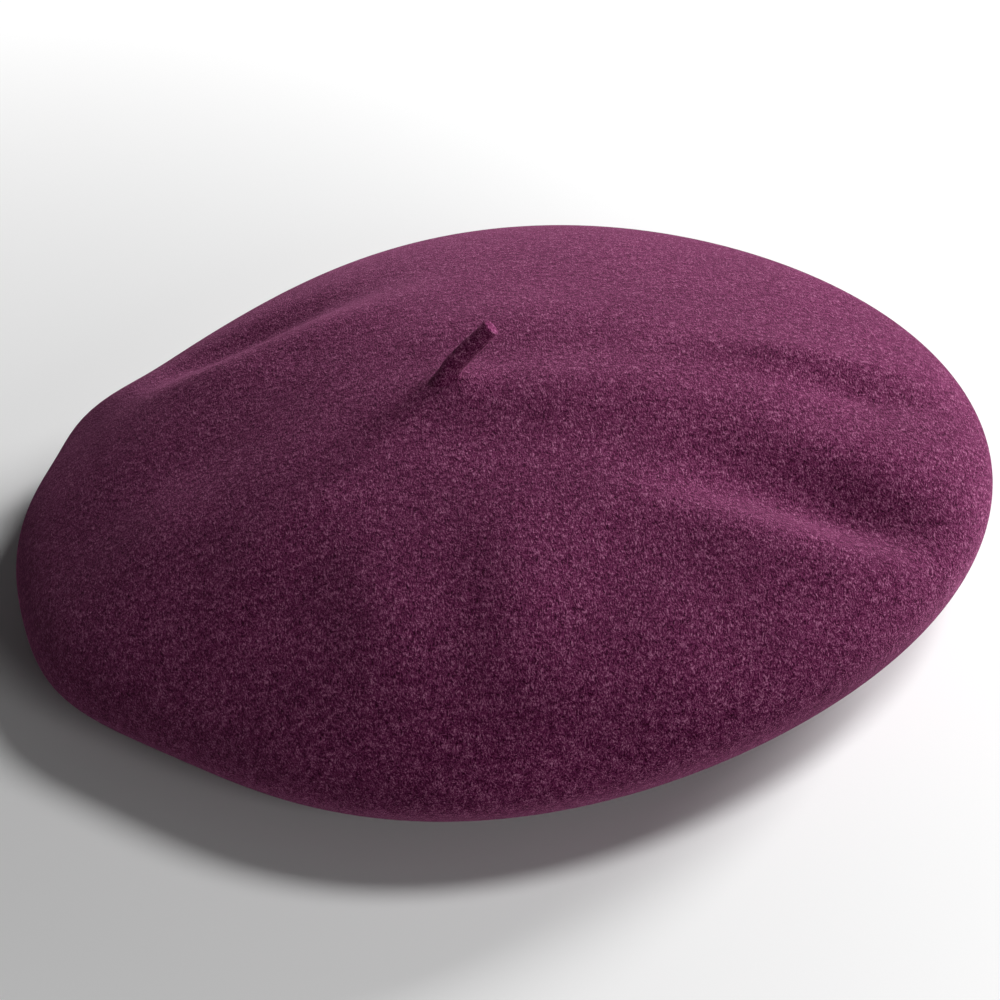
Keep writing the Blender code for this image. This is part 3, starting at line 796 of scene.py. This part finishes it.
def make_size_number(material):
    """The head size in centimetres, worked in thread on its tag."""
    strokes = {
        "five": [(1, 4), (4, 4), (4, 0.8), (2.2, 1.2), (1, -0.6), (1.6, -3), (4, -3.4)],
        "seven": [(-0.8, 4), (-4, 4), (-3.4, 2), (-2.2, -1), (-1.6, -3.6)],
    }
    middle = -SIZE_TAG["height"] / 2
    for name, stroke in strokes.items():
        spots = np.array(stroke) * MM
        raised = TAG_THICKNESS + 0.05 * MM
        points = tag_point(SIZE_TAG, spots[:, 0], middle + spots[:, 1], raised)
        bearing = math.radians(SIZE_TAG["bearing"])
        up = -np.array((math.cos(bearing), math.sin(bearing), 0))
        ups = np.tile(up, (len(points), 1))
        make_stitches(name, (points, ups), material, None, body="size_tag")


def gather_wave(turn):
    """Small pleats of uneven width round the lining."""
    return 0.45 * MM * np.cos(LINING_GATHERS * turn + 0.8 * np.sin(5 * turn))


def lining_under(x, y):
    """The height of the lining crown's underside, gathered where it meets the side strip."""
    reach, turn = np.hypot(x, y), np.arctan2(y, x)
    share = np.minimum(reach / SEAM_RADIUS, 1)
    edge = SEAM_HEIGHT + GAP + 0.5 * MM
    gathers = share**6 * gather_wave(turn)
    slack = 0.5 * MM * share**2 * (1 - share**4) * np.sin(5 * turn + 1)
    return edge + (LINING_TOP - edge) * (1 - share**2) + gathers + slack


def make_lining(material):
    """The satin lining: a gathered side strip and a round crown."""
    turn = full_turn(432)
    foot = SIZE_RADIUS + LEATHER_THICKNESS + TAPE_THICKNESS + 3 * GAP
    rise = np.linspace(0, 1, 20)
    rings = []
    for t, grow in [(t, 0) for t in rise] + [(t, SATIN_THICKNESS) for t in rise[::-1]]:
        ripple = t**2 * gather_wave(turn)
        radius = foot + (SEAM_RADIUS - foot) * t**1.5 + ripple + grow + 0.2 * MM
        rings.append(around_z(turn, radius, LINING_BOTTOM + (SEAM_HEIGHT - LINING_BOTTOM) * t))
    strip = closed_grid("satin_strip", np.array(rings)[::-1], material, "lining_side")
    reaches = SEAM_RADIUS * np.linspace(0.004, 1, 56)
    rings = []
    for reach, lift in [(r, 0) for r in reaches] + [(r, SATIN_THICKNESS) for r in reaches[::-1]]:
        x, y = reach * np.cos(turn), reach * np.sin(turn)
        rings.append(np.stack((x, y, lining_under(x, y) + lift), -1))
    crown = capped_grid("satin_crown", rings, material, flip=True)
    on_flat_cloth(crown)
    sewn(crown, "lining_crown")


def lozenge(turn, grow):
    """The outline of the shield, grown or shrunk."""
    c, s = np.abs(np.cos(turn)), np.abs(np.sin(turn))
    half_x, half_y = SHIELD_LENGTH / 2 * grow, SHIELD_WIDTH / 2 * grow
    power = LOZENGE_POWER
    reach = ((c / half_x) ** power + (s / half_y) ** power) ** (-1 / power)
    return reach * np.cos(turn), reach * np.sin(turn)


def crown_corners(x, y, drop=0.0):
    """Stitch holes on the underside of the lining crown, or a little below it."""
    points = np.stack((x, y, lining_under(x, y) - drop), -1)
    return points, np.tile((0.0, 0.0, -1.0), (len(points), 1))


def make_shield(film, thread):
    """The clear lozenge under the lining's middle, and the thread round it."""
    turn = full_turn(144)
    rows = [(i + 0.3) / 14.3 for i in range(15)]
    rings = []
    for drop, grows in ((SHIELD_FACE, rows), (SHIELD_BACK, rows[::-1])):
        for grow in grows:
            x, y = lozenge(turn, grow)
            rings.append(np.stack((x, y, lining_under(x, y) - drop), -1))
    shield = capped_grid("clear_shield", rings, film, flip=True)
    sewn(shield, "crown_shield")
    x, y = lozenge(full_turn(2 * SHIELD_STITCHES), np.tile((0.95, 0.93), SHIELD_STITCHES))
    corners = crown_corners(x, y, SHIELD_FACE)
    make_stitches("shield_thread", corners, thread, "shield_stitching", True)


def make_lining_seam(material):
    """The stitches between the side strip and the lining's crown."""
    turns = full_turn(2 * SEAM_STITCHES)
    reach = SEAM_RADIUS - np.tile((1.6, 2.1), SEAM_STITCHES) * MM
    corners = crown_corners(reach * np.cos(turns), reach * np.sin(turns))
    make_stitches("seam_thread", corners, material, "lining_seam", True)


# --- camera, light and floor --------------------------------------------------------


def make_camera():
    """A long lens from the front and above, rolled a little."""
    elevation, roll = math.radians(CAMERA_ELEVATION), math.radians(CAMERA_ROLL)
    target = Vector(CAMERA_TARGET) * MM
    back = Vector((0, -math.cos(elevation), math.sin(elevation)))
    data = bpy.data.cameras.new("camera")
    data.lens, data.sensor_width = CAMERA_LENS, 36
    data.clip_start = 0.01
    camera = bpy.data.objects.new("camera", data)
    bpy.context.scene.collection.objects.link(camera)
    right = Vector((1, 0, 0))
    up = back.cross(right)
    c, s = math.cos(roll), math.sin(roll)
    x_axis, y_axis = right * c - up * s, up * c + right * s
    place = target + back * CAMERA_DISTANCE
    rows = [(x_axis[i], y_axis[i], back[i], place[i]) for i in range(3)]
    camera.matrix_world = Matrix((*rows, (0, 0, 0, 1)))
    bpy.context.scene.camera = camera


def add_softbox(name, azimuth, elevation, power):
    """A round soft light that faces the hat from a direction, in degrees from +X and up."""
    data = bpy.data.lights.new(name, "AREA")
    data.shape, data.size, data.energy = "DISK", LIGHT_SIZE, power
    light = bpy.data.objects.new(name, data)
    turn, rise = math.radians(azimuth), math.radians(elevation)
    flat = math.cos(rise)
    away = Vector((flat * math.cos(turn), flat * math.sin(turn), math.sin(rise)))
    light.location = away * LIGHT_DISTANCE + Vector((0, 0, 30 * MM))
    light.rotation_euler = away.to_track_quat("Z", "Y").to_euler()
    light.visible_camera = False
    bpy.context.scene.collection.objects.link(light)


def make_light():
    """Two soft lights from +X, a weak one from the front, and a white world that lights little."""
    scene = bpy.context.scene
    scene.view_settings.view_transform = "Standard"
    scene.view_settings.look = "None"
    world = bpy.data.worlds.new("world")
    scene.world = world
    world.use_nodes = True
    tree = world.node_tree
    background = tree.nodes["Background"]
    background.inputs["Color"].default_value = (1, 1, 1, 1)
    seen = tree.nodes.new("ShaderNodeLightPath")
    strength = tree.nodes.new("ShaderNodeMapRange")
    strength.inputs["To Min"].default_value = 0.045
    strength.inputs["To Max"].default_value = 1.0
    tree.links.new(seen.outputs["Is Camera Ray"], strength.inputs["Value"])
    tree.links.new(strength.outputs["Result"], background.inputs["Strength"])
    add_softbox("top", 3, 54, 11.5)
    add_softbox("side", 34, 14, 35)
    add_softbox("front", -65, 20, 5)


def make_floor():
    """A plain floor that glows a little far from the hat, so that it doesn't fade to grey."""
    n = Nodes("floor")
    n.set(Base_Color=(0.9, 0.9, 0.9, 1), Roughness=0.9, Emission_Color=(1, 1, 1, 1))
    away = n.add("ShaderNodeVectorMath", operation="LENGTH")
    n.link(n.coordinates(), away.inputs[0])
    glow = n.add("ShaderNodeMapRange", interpolation_type="SMOOTHSTEP")
    glow.inputs["From Min"].default_value = 0.16
    glow.inputs["From Max"].default_value = 0.9
    glow.inputs["To Max"].default_value = 0.9
    n.link(away.outputs["Value"], glow.inputs["Value"])
    n.link(glow.outputs["Result"], n.shader.inputs["Emission Strength"])
    half = 8.0
    points = [(-half, -half, 0), (half, -half, 0), (half, half, 0), (-half, half, 0)]
    floor = add_mesh("floor", points, [(0, 1, 2, 3)], n.material, smooth=False)
    floor.location.z = -0.2 * MM


def dress(node, material):
    """Gives a CAD node that keeps its shape its finished material."""
    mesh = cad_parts[node].data
    mesh.materials.clear()
    mesh.materials.append(material)


felt_look = felt_material("wool_felt")
thread_look = thread_material()
ribbon_look = woven_material(
    "grosgrain", (0.018, 0.003, 0.009), (0.095, 0.020, 0.048), 0.7 * MM, 0.12 * MM, 0.5, ribs=True
)
tape_look = woven_material(
    "cotton_tape", (0.008, 0.007, 0.008), (0.040, 0.036, 0.040), 0.6 * MM, 0.10 * MM, 0.9, 0.2
)
label_look = woven_material(
    "label_weave", (0.50, 0.47, 0.39), (0.82, 0.79, 0.72), 0.3 * MM, 0.05 * MM, 0.75, 0.1
)
make_felt(felt_look)
# the stalk gets the same felt painted 1.35 times paler: painted light on a piece that the lamps
# leave in shade
make_stalk(felt_material("stalk_felt_painted_light", 1.35))
dress("stalk_root", felt_look)
dress("root_stitching", thread_look)
make_sweatband(leather_material())
make_stay_tape(tape_look)
make_band_stitching(thread_look)
make_bow_ribbon(ribbon_look)
make_bow_knot(ribbon_look)
make_tag("woven_size_tag", SIZE_TAG, label_look, "size_tag")
make_tag("woven_care_label", CARE_LABEL, label_look, "care_label")
make_size_number(thread_look)
make_lining(satin_material())
make_shield(film_material(), thread_look)
make_lining_seam(thread_look)
make_camera()
make_light()
make_floor()

bpy.context.view_layer.update()
